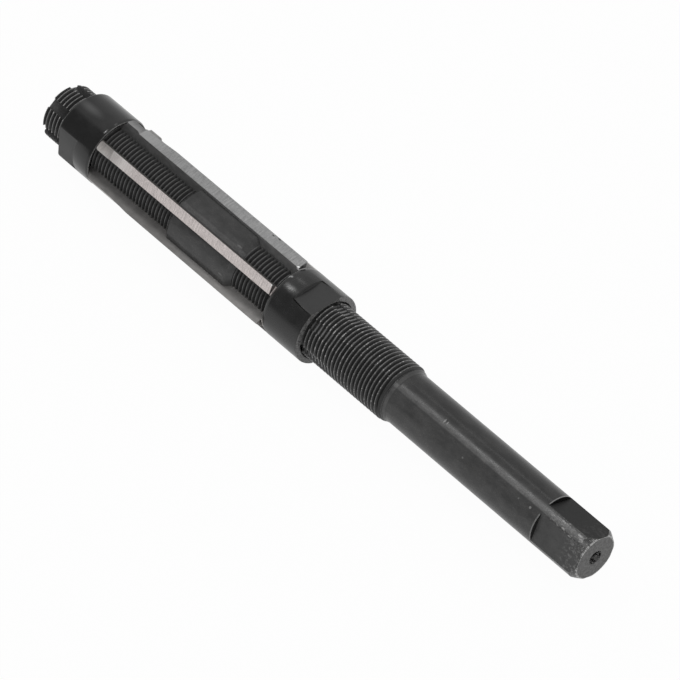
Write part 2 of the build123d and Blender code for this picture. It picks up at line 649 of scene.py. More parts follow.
class SkinBench(SurfaceBench):
    """Builds a blackened surface in layers, about the tool's axis."""

    def __init__(self, name: str) -> None:
        """Starts the material and reads the place on it.

        Args:
            name: Name of the material.
        """
        super().__init__(name)
        self.place = self.axis_frame()
        self.station, self.side, self.height = self.split(self.place)
        self.colour: object = None

    def lay(self, mask: Socket, colour: object) -> None:
        """Lays a colour over the one so far where the mask is one."""
        self.colour = self.blend(mask, self.colour, colour)

    def shade(self, factor: object) -> None:
        """Multiplies the colour so far by a grey factor."""
        self.colour = self.tint(self.colour, factor)

    def along(self, low: float, high: float, to_low: float = 0.0, to_high: float = 1.0) -> Socket:
        """Maps a span of stations smoothly onto another."""
        return self.ramp(self.station, low, high, to_low, to_high)

    def between(self, low: float, high: float, soft: float) -> Socket:
        """One between two stations and zero outside, with soft ends."""
        return self.window(self.station, low, high, soft)

    def grain(self, fineness: Triple | float, detail: float, roughness: float) -> Socket:
        """Noise over the surface."""
        return self.noise(self.place, fineness, detail, roughness)

    def mark(self, centre: Triple, size: Triple, core: float = 0.55) -> Socket:
        """One inside a small soft ellipsoid on the surface."""
        return self.spot(self.place, centre, size, core)

    def radius(self) -> Socket:
        """Distance from the tool's axis."""
        squares = (self.times(part, part) for part in (self.side, self.height))
        return self.math("SQRT", self.plus(*squares))

    def toward(self, angle: float) -> Socket:
        """Distance from the axis towards an angle in degrees, from straight up towards +Y."""
        turn = math.radians(angle)
        return self.plus(self.times(self.side, math.sin(turn)), self.times(self.height, math.cos(turn)))

    def off(self, angle: float) -> Socket:
        """Distance to both sides of the plane through the axis square to an angle."""
        return self.math("ABSOLUTE", self.toward(angle))

    def degrees(self) -> Socket:
        """Angle in degrees about the axis, from straight up towards +Y."""
        return self.times(self.math("ARCTAN2", self.side, self.height), 180 / math.pi)

    def beside_slots(self) -> Socket:
        """Sideways place in millimetres about the middle of the nearest slot, positive towards +Y."""
        from_first = self.math("SUBTRACT", self.degrees(), TOOL.blade_angle(0))
        return self.times(self.wrap(from_first, 180 / TOOL.blade_count), math.pi / 180 * TOOL.crest_radius)


@dataclass(frozen=True)
class BlackOxide:
    """Satin blackened steel with faint turning marks."""

    name: str
    dark: Colour = grey(0.042)
    light: Colour = (0.06, 0.0595, 0.059)
    roughness: float = 0.22
    specular: float = 0.25
    ring_marks: float = 1.0
    relief: float = 0.000006

    def wear(self, bench: SkinBench) -> None:
        """Adds the wear to the colour; a plain surface has none."""

    def build(self) -> bpy.types.Material:
        """Makes the material.

        Returns:
            The material.
        """
        bench = SkinBench(self.name)
        mottle = bench.grain((0.25, 0.4, 0.4), 5.0, 0.6)
        fine = bench.grain(3.0, 3.0, 0.6)
        both = bench.plus(bench.times(mottle, 0.6), bench.times(fine, 0.4))
        bench.colour = bench.blend(bench.ramp(both, 0.36, 0.64), self.dark, self.light)
        self.wear(bench)
        rough = bench.ramp(both, 0.35, 0.65, self.roughness - 0.04, self.roughness + 0.06)
        rings = bench.grain((9.0, 0.12, 0.12), 2.0, 0.5)
        grain = bench.plus(bench.times(rings, self.ring_marks), bench.times(fine, 0.35))
        bench.finish(bench.colour, rough, self.specular, grain, self.relief)
        return bench.material


@dataclass(frozen=True)
class BarOxide(BlackOxide):
    """The body's turned skin: rubbed thread crests, a brighter end face and scuffs at the drive end, with a
    painted lighter side, painted highlights and glints, and painted shade beside the blades and in the centre
    hole.
    """

    groove: Colour = grey(0.046)
    crest: Colour = (0.135, 0.134, 0.133)
    # painted shade that evens out the thread beside each blade
    painted_blade_shade: Colour = grey(0.075)
    # bright grey of the burrs along the slot edges and of the painted glints on the crests
    burr_and_glint: Colour = (0.36, 0.355, 0.35)
    face: Colour = (0.095, 0.094, 0.093)
    bright: Colour = (0.3, 0.298, 0.295)
    front_thread_end: float = 60.6
    rear_thread: tuple[float, float] = (90.5, 157.4)
    open_slots: tuple[float, float] = (123.2, 141.0)
    # painted light: the bar is laid lighter on the side towards the first angle, and a painted highlight
    # strip runs along the shank between the two strip angles
    lit_side_angle: float = -75.0
    flat_angle: float = 24.0
    highlight_angles: tuple[float, float] = (-25.5, -21.5)
    # painted highlights lie over the taper and the land's chamfer
    taper_span: tuple[float, float] = (157.5, 158.9)
    land_chamfer_span: tuple[float, float] = (88.8, 90.4)
    glint_place: Triple = (129.0, -5.3, 8.3)
    glint_size: Triple = (6.5, 3.2, 3.2)

    def thread_wear(self, bench: SkinBench) -> None:
        """Darkens the grooves, rubs the crests, paints shade over the thread beside each blade, tears the
        thread beside the slots with burrs painted bright, and paints glints on the rear crests.

        Args:
            bench: The material's bench, with the colour so far.
        """
        speckle = bench.grain(*SPECKLE)
        front = bench.along(self.front_thread_end, self.front_thread_end + 0.1, 1.0, 0.0)
        threads = bench.plus(front, bench.between(*self.rear_thread, 0.1), clamp=True)
        rear = bench.along(118.0, 124.0)
        tip = bench.along(9.0, 11.0, 1.0, 0.0)
        open_ends = bench.plus(rear, tip, clamp=True)
        groove = bench.tint(self.groove, bench.ramp(open_ends, 0.0, 1.0, 1.0, 0.9))
        bench.lay(threads, groove)
        crest = TOOL.crest_radius
        top = bench.times(bench.ramp(bench.radius(), crest - 0.16, crest - 0.02), threads)
        rubbed = bench.times(top, bench.ramp(speckle, 0.3, 0.65, 0.45, 1.0))
        shine = bench.plus(bench.ramp(open_ends, 0.0, 1.0, 1.15, 1.7), bench.times(tip, 0.5))
        bench.lay(rubbed, bench.tint(self.crest, shine))
        beside = bench.beside_slots()
        between_nuts = bench.between(26.0, 107.0, 1.0)
        # painted shade: between the nuts, on the trailing side of each blade, the crest lines are evened out
        # to one mid grey
        smooth = bench.times(bench.window(beside, -3.0, -1.6, 0.5), between_nuts, threads, 0.8)
        bench.lay(smooth, self.painted_blade_shade)
        # burrs along the slot edges at the tip and behind the rear nut, painted bright as glints
        edge = bench.window(bench.math("ABSOLUTE", beside), 1.6, 2.3, 0.2)
        edge = bench.times(edge, bench.plus(tip, bench.between(*self.open_slots, 0.3), clamp=True))
        torn = bench.times(edge, top, bench.ramp(speckle, 0.42, 0.56))
        bench.lay(torn, scaled(self.burr_and_glint, 1.4))
        # painted glints on the crests behind the rear nut, thickest in one cluster
        grains = bench.grain((1.1, 1.6, 1.6), 2.0, 0.5)
        cluster = bench.mark(self.glint_place, self.glint_size)
        cluster = bench.times(cluster, bench.ramp(grains, 0.5, 0.54))
        often = bench.plus(bench.ramp(grains, 0.6, 0.64), cluster, clamp=True)
        bench.lay(bench.times(top, rear, often), scaled(self.burr_and_glint, 1.6))

    def tone(self, bench: SkinBench) -> Socket:
        """Grey factor of the plain skin: random patches, a painted lighter side, a painted highlight strip
        along the shank and painted highlights on the taper and the land's chamfer.

        Args:
            bench: The material's bench.

        Returns:
            The factor.
        """
        patchy = bench.ramp(bench.grain((0.12, 0.35, 0.35), 4.0, 0.6), 0.38, 0.62, 0.92, 1.09)
        # painted light: the side of the bar towards one angle is laid lighter, most of all on the shank
        lit_side = bench.toward(self.lit_side_angle)
        shank = bench.ramp(lit_side, 1.5, 6.5, 0.85, 1.6)
        on_shank = bench.along(158.0, 160.0)
        tone = bench.blend(on_shank, bench.ramp(lit_side, 2.0, 9.0, 1.0, 1.45), shank)
        # painted highlight: a strip along the shank between two angles, broken up by speckle and brighter
        # towards the square
        wear_and_sheen = bench.ramp(bench.grain(*SPECKLE), 0.3, 0.65, 0.7, 1.3)
        strip = bench.times(bench.window(bench.degrees(), *self.highlight_angles, 4.0), wear_and_sheen)
        strip = bench.times(strip, bench.along(180.0, 222.0, 1.2, 1.9))
        tone = bench.times(patchy, bench.plus(tone, strip))
        # painted highlights: the taper and the land's chamfer are laid lighter
        for span, soft, factor in ((self.taper_span, 0.4, 1.55), (self.land_chamfer_span, 0.2, 1.2)):
            tone = bench.times(tone, bench.ramp(bench.between(*span, soft), 0.0, 1.0, 1.0, factor))
        return tone

    def end_face(self, bench: SkinBench) -> None:
        """Clouds the end face and paints shade into the centre hole, with a painted lit spot on its cone.

        Args:
            bench: The material's bench, with the colour so far.
        """
        length = TOOL.length
        on_face = bench.along(length - 0.15, length - 0.05)
        clouds = bench.ramp(bench.grain(1.0, 5.0, 0.7), 0.38, 0.62)
        clouded = bench.blend(clouds, scaled(self.face, 0.68), scaled(self.face, 1.38))
        bench.lay(on_face, clouded)
        # painted shade in the centre hole, with a painted lit spot on one side of its cone
        near_axis = bench.ramp(bench.radius(), 2.25, 2.45, 1.0, 0.0)
        in_hole = bench.times(near_axis, bench.along(length - 6.5, length - 6.0))
        lit = bench.mark((length - 0.7, 0.85, -1.75), (1.2, 0.7, 0.7))
        hole = bench.blend(lit, grey(0.002), (0.13, 0.129, 0.127))
        gloss = bench.ramp(in_hole, 0.0, 1.0, self.specular, 0.0)
        bench.feed(bench.shader.inputs["Specular IOR Level"], gloss)
        bench.lay(in_hole, hole)

    def scuffs(self, bench: SkinBench) -> None:
        """Scuffs the corners, the chamfer and the rim of the drive end.

        Args:
            bench: The material's bench, with the colour so far.
        """
        length = TOOL.length
        speckle = bench.grain(*SPECKLE)
        scratches = bench.grain((0.7, 1.9, 1.9), 4.0, 0.65)
        level = bench.off(self.flat_angle)
        across = bench.off(self.flat_angle + 90)
        off_square = bench.ramp(bench.math("MAXIMUM", level, across), 7.3, 7.6)
        shoulder = bench.times(bench.between(length - 18.4, length - 18.0, 0.05), off_square)
        shoulder = bench.times(shoulder, bench.ramp(speckle, 0.3, 0.6, 0.5, 1.0))
        bench.lay(shoulder, scaled(self.bright, 0.9))
        chamfer = bench.between(length - 2.1, length - 0.1, 0.1)
        corner = bench.between(length - 17.5, length - 2.0, 0.8)
        corner = bench.times(corner, bench.along(length - 18.0, length - 6.0, 0.35, 1.0))
        wear_and_sheen = bench.plus(chamfer, corner, clamp=True)
        scuffed = bench.times(wear_and_sheen, bench.ramp(speckle, 0.46, 0.6), 0.8)
        bench.lay(scuffed, scaled(self.bright, 0.6))
        scratched = bench.times(wear_and_sheen, bench.ramp(scratches, 0.56, 0.64))
        bench.lay(scratched, scaled(self.bright, 1.3))
        rim = bench.window(bench.radius(), 7.2, 7.6, 0.12)
        rim = bench.times(rim, bench.along(length - 0.4, length - 0.3))
        rim = bench.times(rim, bench.ramp(scratches, 0.42, 0.52))
        bench.lay(rim, scaled(self.bright, 1.7))

    def wear(self, bench: SkinBench) -> None:
        """Adds the tone with its painted light, the rubbed crests, the nicks, the end face and the scuffs.

        Args:
            bench: The material's bench, with the colour so far.
        """
        bench.shade(self.tone(bench))
        self.thread_wear(bench)
        for station, angle, radius, size, colour in NICKS:
            bench.lay(bench.mark(around(station, angle, radius), size), colour)
        self.end_face(bench)
        self.scuffs(bench)


@dataclass(frozen=True)
class SlotOxide(BlackOxide):
    """Slot walls and floors, with painted light where the slots lie open at the tip and behind the rear nut.
    """

    thread_phase: float = 89.1

    def wear(self, bench: SkinBench) -> None:
        """Paints light into the slots by station, and paints lighter lines like thread crests on the floors
        where the threads run out.

        Args:
            bench: The material's bench, with the colour so far.
        """
        # painted light: lighter lines in the thread's phase on the open floors behind the rear nut, and
        # lighter floors at the tip
        turns = bench.math("DIVIDE", bench.math("ARCTAN2", bench.side, bench.height), TAU)
        pitches = bench.math("DIVIDE", bench.math("SUBTRACT", bench.station, self.thread_phase), TOOL.pitch)
        line = bench.wrap(bench.plus(pitches, turns), 0.5)
        rubbed = bench.ramp(bench.math("ABSOLUTE", line), 0.06, 0.26, 4.6, 0.9)
        open_rear = bench.along(120.0, 126.0)
        bench.shade(bench.blend(open_rear, bench.along(8.0, 12.0, 2.6, 1.0), rubbed))


@dataclass(frozen=True)
class SquareOxide(BlackOxide):
    """The square drive's flats, one of them painted darker as shade."""

    shaded_flat_angle: float = 24.0
    scuff: Colour = (0.27, 0.268, 0.265)

    def wear(self, bench: SkinBench) -> None:
        """Paints shade on one flat and in the corners at the shoulder, and scuffs the end.

        Args:
            bench: The material's bench, with the colour so far.
        """
        toward = bench.toward(self.shaded_flat_angle)
        # painted shade over the whole of one flat
        bench.shade(bench.ramp(toward, 7.1, 7.24, 1.0, 0.26))
        near_end = bench.along(TOOL.length - 10.0, TOOL.length - 3.0)
        wear_and_sheen = bench.ramp(bench.grain(0.9, 5.0, 0.7), 0.48, 0.64)
        scuffed = bench.times(near_end, wear_and_sheen, 0.8, bench.ramp(toward, 7.0, 7.2, 1.0, 0.15))
        bench.lay(scuffed, self.scuff)
        # painted shade in the corners where the flats meet the shoulder
        bench.shade(bench.along(222.05, 222.25, 0.25, 1.0))


@dataclass(frozen=True)
class NutOxide(BlackOxide):
    """A nut's deep black skin, rubbed lighter along its edges."""

    dark: Colour = grey(0.009)
    light: Colour = grey(0.014)
    roughness: float = 0.2
    specular: float = 0.5
    rims: tuple[float, ...] = ()
    wall: float = 0.0
    # painted sheens and glints: station, angle, half size and grey
    marks: tuple[NutMark, ...] = ()
    mark_radius: float = 12.05
    flat_angle: float = 0.0
    flat_span: tuple[float, float] = (0.0, 0.0)

    def wear(self, bench: SkinBench) -> None:
        """Adds painted light on the flats' shoulder wall, the rubbed rims, the flat edges, and the marks: a
        painted sheen and painted glints.

        Args:
            bench: The material's bench, with the colour so far.
        """
        speckle = bench.grain(1.6, 3.0, 0.6)
        # painted light: the shoulder wall of a flat is laid lighter than the flat
        on_wall = bench.between(self.wall - 0.04, self.wall + 0.04, 0.03)
        bench.lay(on_wall, grey(0.05))
        level = bench.off(self.flat_angle)
        edge = bench.window(level, 10.56, 10.68, 0.05)
        edge = bench.times(edge, bench.between(*self.flat_span, 0.1))
        edge = bench.times(edge, bench.ramp(bench.radius(), 11.85, 12.0))
        edge = bench.times(edge, bench.ramp(speckle, 0.3, 0.6, 0.3, 1.0))
        bench.lay(edge, (0.07, 0.069, 0.068))
        for rim in self.rims:
            distance = bench.math("ABSOLUTE", bench.math("SUBTRACT", bench.station, rim))
            line = bench.ramp(distance, 0.08, 0.3, 1.0, 0.0)
            line = bench.times(line, bench.ramp(speckle, 0.3, 0.6, 0.25, 1.0))
            bench.lay(line, (0.19, 0.188, 0.186))
        # painted sheen and painted glints
        for along, angle, size, tone in self.marks:
            bench.lay(bench.mark(around(along, angle, self.mark_radius), size, 0.0), grey(tone))


@dataclass(frozen=True)
class GroundBlade:
    """A blade: cross-ground bright land, grey sides and a duller front end."""

    name: str
    angle: float
    land: Colour = (0.42, 0.4, 0.385)
    end: Colour = (0.34, 0.325, 0.315)
    leading_side: Colour = (0.17, 0.163, 0.158)
    trailing_side: Colour = (0.1, 0.097, 0.095)
    mottle: float = 0.16
    # factors of painted light on the upper sides, towards the rear and on the lead
    upper_painted_light: float = 1.0
    rear_painted_light: float = 1.0
    lead_painted_light: float = 0.96
    # dark marks and painted glints: centre, half size and grey
    marks: tuple[BladeMark, ...] = ()
    specular: float = 0.35
    relief: float = 0.000014

    def top_colour(self, bench: SurfaceBench, station: Socket, side: Socket, mixed: Socket) -> Socket:
        """Colour of the ground top: the land, its lead with painted light and the end land with painted shade
        across it, by station.

        Args:
            bench: The node tree that is being built.
            station: Station in millimetres from the tip face.
            side: Sideways place, positive towards +Y.
            mixed: Grinding strokes and specks mixed.

        Returns:
            The colour.
        """
        grain = bench.ramp(mixed, 0.36, 0.64)
        bright = bench.blend(grain, scaled(self.land, 0.62), scaled(self.land, 1.3))
        # painted light on the lead, in front of the full cutting edge
        low, high = scaled(self.land, self.lead_painted_light * 0.86), scaled(self.land, self.lead_painted_light * 1.15)
        bright = bench.blend(bench.ramp(station, 36.5, 44.0, 1.0, 0.0), bright, bench.blend(grain, low, high))
        dull = bench.blend(bench.ramp(mixed, 0.34, 0.66), scaled(self.end, 0.8), scaled(self.end, 1.15))
        # painted shade across the end land: lighter on the heel side, darker towards the cutting edge
        dull = bench.tint(dull, bench.ramp(side, -1.6, 1.6, 1.25, 0.8))
        return bench.blend(bench.ramp(station, 31.9, 32.4, 1.0, 0.0), bright, dull)

    def flank_colour(self, bench: SurfaceBench, place: Socket, n_side: Socket, mixed: Socket) -> Socket:
        """Colour of the blade's two sides, with painted light on their upper parts and towards the rear.

        Args:
            bench: The node tree that is being built.
            place: Coordinates in millimetres: station, sideways and height.
            n_side: Sideways part of the surface's direction.
            mixed: Grinding strokes and specks mixed.

        Returns:
            The colour.
        """
        station, _, height = bench.split(place)
        clouds = bench.noise(place, (0.3, 0.7, 0.7), 3.0, 0.55)
        low = bench.ramp(clouds, 0.36, 0.64, 1.0 - self.mottle, 1.0 + self.mottle)
        grain = bench.ramp(mixed, 0.35, 0.65, 0.92, 1.08)
        # painted light on the upper part of the sides and towards the rear
        upper = bench.ramp(height, 10.8, 12.9, 1.0, self.upper_painted_light)
        rearward = bench.ramp(station, 60.0, 90.0, 1.0, self.rear_painted_light)
        flank = bench.blend(bench.ramp(n_side, -0.3, 0.3), self.trailing_side, self.leading_side)
        return bench.tint(flank, bench.times(bench.times(low, grain), bench.times(upper, rearward)))

    def build(self) -> bpy.types.Material:
        """Makes the material.

        Returns:
            The material.
        """
        bench = SurfaceBench(self.name)
        place = bench.axis_frame(self.angle)
        station, side, _ = bench.split(place)
        normal = bench.add("NewGeometry").outputs["True Normal"]
        turned = bench.add("Mapping", normal, vector_type="NORMAL")
        turned.inputs["Rotation"].default_value = (math.radians(self.angle), 0, 0)
        n_along, n_side, n_up = bench.split(turned.outputs["Vector"])
        top = bench.plus(bench.ramp(n_up, 0.45, 0.6), bench.ramp(n_along, 0.6, 0.8), clamp=True)
        strokes = bench.noise(place, (6.5, 0.35, 0.35), 4.0, 0.75)
        specks = bench.noise(place, 4.5, 2.0, 0.6)
        mixed = bench.plus(bench.times(strokes, 0.62), bench.times(specks, 0.38))
        flank = self.flank_colour(bench, place, n_side, mixed)
        colour = bench.blend(top, flank, self.top_colour(bench, station, side, mixed))
        # dark marks and painted glints
        for centre, size, tone in self.marks:
            colour = bench.blend(bench.spot(place, centre, size), colour, grey(tone))
        bench.feed(bench.shader.inputs["Metallic"], bench.ramp(top, 0.0, 1.0, 0.5, 1.0))
        rough = bench.ramp(strokes, 0.35, 0.65, 0.31, 0.42)
        bench.finish(colour, rough, self.specular, mixed, self.relief)
        return bench.material


@dataclass
class ReamerBody:
    """The one-piece body: threaded tip, land, rear thread, slots, shank and square drive."""

    thread_steps: int = 80
    front_thread_end: float = 60.7
    rear_thread_start: float = 90.5
    rear_thread_end: float = 156.4
    taper_length: float = 2.9
    taper_trim: float = 158.75
    tip_face_radius: float = 9.2
    tip_chamfer: float = 0.8
    land_chamfer: float = 1.8
    square_start: float = 222.0
    square_half: float = 7.25
    square_angle: float = -21.0
    end_face_radius: float = 7.45
    end_chamfer: float = 2.2
    hole_mouth: float = 2.4
    hole_pilot: float = 1.0
    hole_cone: float = 2.425
    hole_depth: float = 5.5
    run_in_length: float = 13.5
    cutter_radius: float = 21.0
    arc_steps: int = 14
    overrun: float = 1.0
    slot_top: float = 13.5
    collar_radius: float = 20.0

    def tooth(self) -> Line:
        """One pitch of the outside thread, root to root.

        Returns:
            Offsets along the tool and radii.
        """
        crest, root, pitch = TOOL.crest_radius, TOOL.root_radius, TOOL.pitch
        top = [(0.71, crest - 0.05), (0.77, crest), (0.94, crest), (1.0, crest - 0.05)]
        return [(0.0, root), (0.21, root)] + top + [(pitch, root)]

    def largest_radius(self, station: float) -> float:
        """Largest radius that the turned blank has at a station of the threads.

        Args:
            station: Station in millimetres from the tip face.

        Returns:
            The radius.
        """
        if station < self.tip_chamfer:
            share = station / self.tip_chamfer
            return self.tip_face_radius + (TOOL.crest_radius - self.tip_face_radius) * share
        if station > self.rear_thread_end:
            share = (station - self.rear_thread_end) / self.taper_length
            return TOOL.crest_radius + (TOOL.shank_radius - TOOL.crest_radius) * share
        return TOOL.crest_radius

    def turned_bar(self) -> Mesh:
        """The closed bar with both threads, before any milling.

        Returns:
            The closed mesh.
        """
        land, shank, length = TOOL.land_radius, TOOL.shank_radius, TOOL.length
        taper_end = self.rear_thread_end + self.taper_length
        depth, pilot = self.hole_depth, self.hole_pilot
        hole = [(0.0, self.hole_mouth), (self.hole_cone, pilot), (depth, pilot), (depth + 0.4, 0.0)]
        spans = ((0.0, self.front_thread_end), (self.rear_thread_start, self.taper_trim))
        winding = (self.tooth(), TOOL.pitch, self.thread_steps)
        bm = Workshop.join([Workshop.thread_skin(*span, *winding) for span in spans])
        Workshop.limit_radius(bm, self.largest_radius)
        land_start = self.front_thread_end + self.land_chamfer
        land_end = self.rear_thread_start - self.land_chamfer
        Workshop.grow(bm, 0.0, [(0.0, TOOL.root_radius - 0.35)] + hole)
        for thread_end, shoulder in ((self.front_thread_end, land_start), (self.rear_thread_start, land_end)):
            Workshop.grow(bm, thread_end, [(thread_end, TOOL.crest_radius), (shoulder, land)])
        Workshop.bridge(bm, land_start, land_end)
        drive_end = [(length, self.end_face_radius)] + [(length - s, r) for s, r in hole]
        rings = (taper_end, taper_end + 0.4, self.square_start - 3.0, length - self.end_chamfer)
        shank_rings = [(ring, shank) for ring in rings]
        Workshop.grow(bm, self.taper_trim, shank_rings + drive_end)
        bmesh.ops.recalc_face_normals(bm, faces=bm.faces[:])
        return bm

    def slot_cutter(self) -> Mesh:
        """All slots as one cutter: a run-in arc behind the tip, then the tapered floor.

        Returns:
            The closed cutter.
        """
        slope = math.atan(TOOL.slot_slope)
        centre_s = self.run_in_length - self.cutter_radius * math.sin(slope)
        centre_h = TOOL.floor_height(self.run_in_length) + self.cutter_radius * math.cos(slope)
        arc = []
        for step in range(self.arc_steps + 1):
            s = -self.overrun + (self.run_in_length + self.overrun) * step / self.arc_steps
            arc.append((s, centre_h - math.sqrt(self.cutter_radius ** 2 - (s - centre_s) ** 2)))
        past = TOOL.slot_end + self.overrun
        top = self.slot_top
        outline = arc + [(past, TOOL.floor_height(past)), (past, top), (-self.overrun, top)]
        slots = []
        for index in range(TOOL.blade_count):
            slot = Workshop.prism(outline, TOOL.slot_width)
            slots.append(Workshop.turned_to(slot, TOOL.blade_angle(index)))
        return Workshop.join(slots)

    def square_cutter(self) -> Mesh:
        """A square collar that mills the four drive flats in one cut.

        Returns:
            The closed cutter.
        """
        bm = bmesh.new()
        across = Matrix.Rotation(math.pi / 2, 4, "Y")
        lift = Matrix.Translation((self.square_start, 0, 0))
        for radius in (self.square_half * math.sqrt(2), self.collar_radius):
            turn = Matrix.Rotation(math.pi / 4 - math.radians(self.square_angle + 45), 4, "X")
            matrix = lift @ turn @ across
            bmesh.ops.create_circle(bm, cap_ends=False, segments=4, radius=radius, matrix=matrix)
        ring = bmesh.ops.bridge_loops(bm, edges=bm.edges[:])["faces"]
        grown = bmesh.ops.extrude_face_region(bm, geom=ring)["geom"]
        verts = [g for g in grown if isinstance(g, Vert)]
        bmesh.ops.translate(bm, verts=verts, vec=(TOOL.length - self.square_start + 2.0, 0, 0))
        bmesh.ops.recalc_face_normals(bm, faces=bm.faces[:])
        return bm

    def build(self) -> bpy.types.Object:
        """Builds and dresses the body.

        Returns:
            The finished object.
        """
        bm = self.turned_bar()
        bm = Workshop.cut(bm, self.slot_cutter(), material=Cut.FIRST)
        bm = Workshop.cut(bm, self.square_cutter(), material=Cut.SECOND)
        turned = BarOxide("blackened_bar", roughness=0.23, specular=0.28)
        slots = SlotOxide("slot_walls", dark=grey(0.03), light=grey(0.06), roughness=0.35, ring_marks=0.0)
        square = SquareOxide(
            "square_flats",
            dark=grey(0.085),
            light=(0.115, 0.115, 0.114),
            roughness=0.4,
            specular=0.15,
            ring_marks=0.0,
        )
        materials = [turned.build(), slots.build(), square.build()]
        return Piece.place(bm, "reamer_body", "blackened_body", materials, CRISP_STEEL)


@dataclass
class ClampNut:
    """A clamping nut with a coned cup for the blades and two wrench flats."""

    node: str
    outer_face: float
    flat_angle: float
    faces_back: bool
    # painted sheens and glints on the skin
    marks: tuple[NutMark, ...] = ()
    roughness: float = 0.2
    # grey factor of the skin; above one the skin is painted lighter
    tone: float = 1.0
    outer_radius: float = 12.1
    length: float = 15.7
    flat_half: float = 10.6
    flat_length: float = 8.6
    flat_edge_ease: float = 0.1
    rim_chamfer: tuple[float, float] = (0.9, 0.3)
    cup_clearance: float = 0.2
    edge: float = 0.3
    bore_chamfer: float = 0.45
    thread_depth: float = 0.3
    band: float = 0.3
    steps: int = 80

    @property
    def cup_radius(self) -> float:
        """Inner radius of the cup at its rim."""
        height = TOOL.bore_radius + TOOL.blade_end_depth
        return math.hypot(height, TOOL.blade_thickness / 2) + self.cup_clearance

    def tooth(self) -> Line:
        """One pitch of the inside thread, land to land."""
        crest, root = TOOL.bore_radius, TOOL.bore_radius + self.thread_depth
        return [(0.0, crest), (0.55, crest), (0.8, root), (1.25, root), (TOOL.pitch, crest)]

    def blank(self) -> Mesh:
        """The closed nut with its inside thread, outer face at zero and cup towards +X.

        Returns:
            The closed mesh.
        """
        bore, outer, cup = TOOL.bore_radius, self.outer_radius, self.cup_radius
        bottom = self.length - (cup - bore)
        mouth = bore + self.bore_chamfer
        first, last = self.bore_chamfer, bottom - 0.2
        bm = Workshop.thread_skin(first, last, self.tooth(), TOOL.pitch, self.steps)
        Workshop.grow(bm, first, [
            (first, bore),
            (0.0, mouth),
            (0.0, outer - self.edge),
            (self.edge * 0.3, outer - self.edge * 0.3),
            (self.edge, outer),
            (self.edge + self.band, outer),
        ])
        chamfer_start = self.length - self.rim_chamfer[0]
        Workshop.grow(bm, last, [
            (last, bore),
            (bottom, bore),
            (self.length - 0.05, cup - 0.03),
            (self.length, cup + 0.05),
            (self.length, outer - self.rim_chamfer[1] - 0.06),
            (self.length - 0.06, outer - self.rim_chamfer[1] + 0.02),
            (chamfer_start, outer),
            (chamfer_start - self.band, outer),
        ])
        Workshop.bridge(bm, self.edge + self.band, chamfer_start - self.band)
        bmesh.ops.recalc_face_normals(bm, faces=bm.faces[:])
        return bm

    def flats_cutter(self) -> Mesh:
        """Two blocks that mill the wrench flats.

        Returns:
            The closed cutter.
        """
        top = self.outer_radius + 2
        low, wall = self.flat_half, self.flat_length
        outline = [(-1.0, low), (wall, low), (wall, top), (-1.0, top)]
        blocks = []
        for side in (0.0, 180.0):
            blocks.append(Workshop.turned_to(Workshop.prism(outline, 2 * top), side))
        return Workshop.join(blocks)

    def on_flat(self, edge: Edge) -> bool:
        """Says whether an edge bounds a wrench flat or its shoulder.

        Args:
            edge: The edge.

        Returns:
            Whether it does.
        """
        if edge.calc_face_angle(0.0) < math.radians(18):
            return False
        if min(math.hypot(v.co.y, v.co.z) for v in edge.verts) < self.flat_half - 0.01:
            return False
        level = all(abs(abs(v.co.z) - self.flat_half) < NEAR and v.co.x > 0.35 for v in edge.verts)
        return level or Workshop.lies_at(edge, self.flat_length)

    def build(self) -> bpy.types.Object:
        """Builds and dresses the nut.

        Returns:
            The finished object.
        """
        bm = Workshop.cut(self.blank(), self.flats_cutter(), material=Cut.FIRST)
        eased = Workshop.ease(bm, self.on_flat, self.flat_edge_ease)
        LOG.info("%s: %d edges eased", self.node, eased)
        Workshop.turned_to(bm, -self.flat_angle if self.faces_back else self.flat_angle)
        if self.faces_back:
            bmesh.ops.rotate(bm, cent=(0, 0, 0), matrix=Matrix.Rotation(math.pi, 3, "Z"), verts=bm.verts[:])
        bmesh.ops.translate(bm, verts=bm.verts[:], vec=(self.outer_face, 0, 0))
        rim = self.outer_face + (-self.length if self.faces_back else self.length)
        wall = self.outer_face + (-self.flat_length if self.faces_back else self.flat_length)
        span = (min(wall, self.outer_face), max(wall, self.outer_face))
        turned = NutOxide(
            self.node + "_turned",
            dark=scaled(grey(0.009), self.tone),
            light=scaled(grey(0.014), self.tone),
            roughness=self.roughness,
            rims=(rim, self.outer_face),
            marks=self.marks,
            flat_angle=self.flat_angle,
            flat_span=span,
        )
        flats = NutOxide(
            self.node + "_flats",
            dark=grey(0.024),
            light=grey(0.034),
            roughness=0.42,
            ring_marks=0.0,
            wall=wall,
        )
        return Piece.place(bm, self.node, "blackened_nut", [turned.build(), flats.build()], CRISP_STEEL)


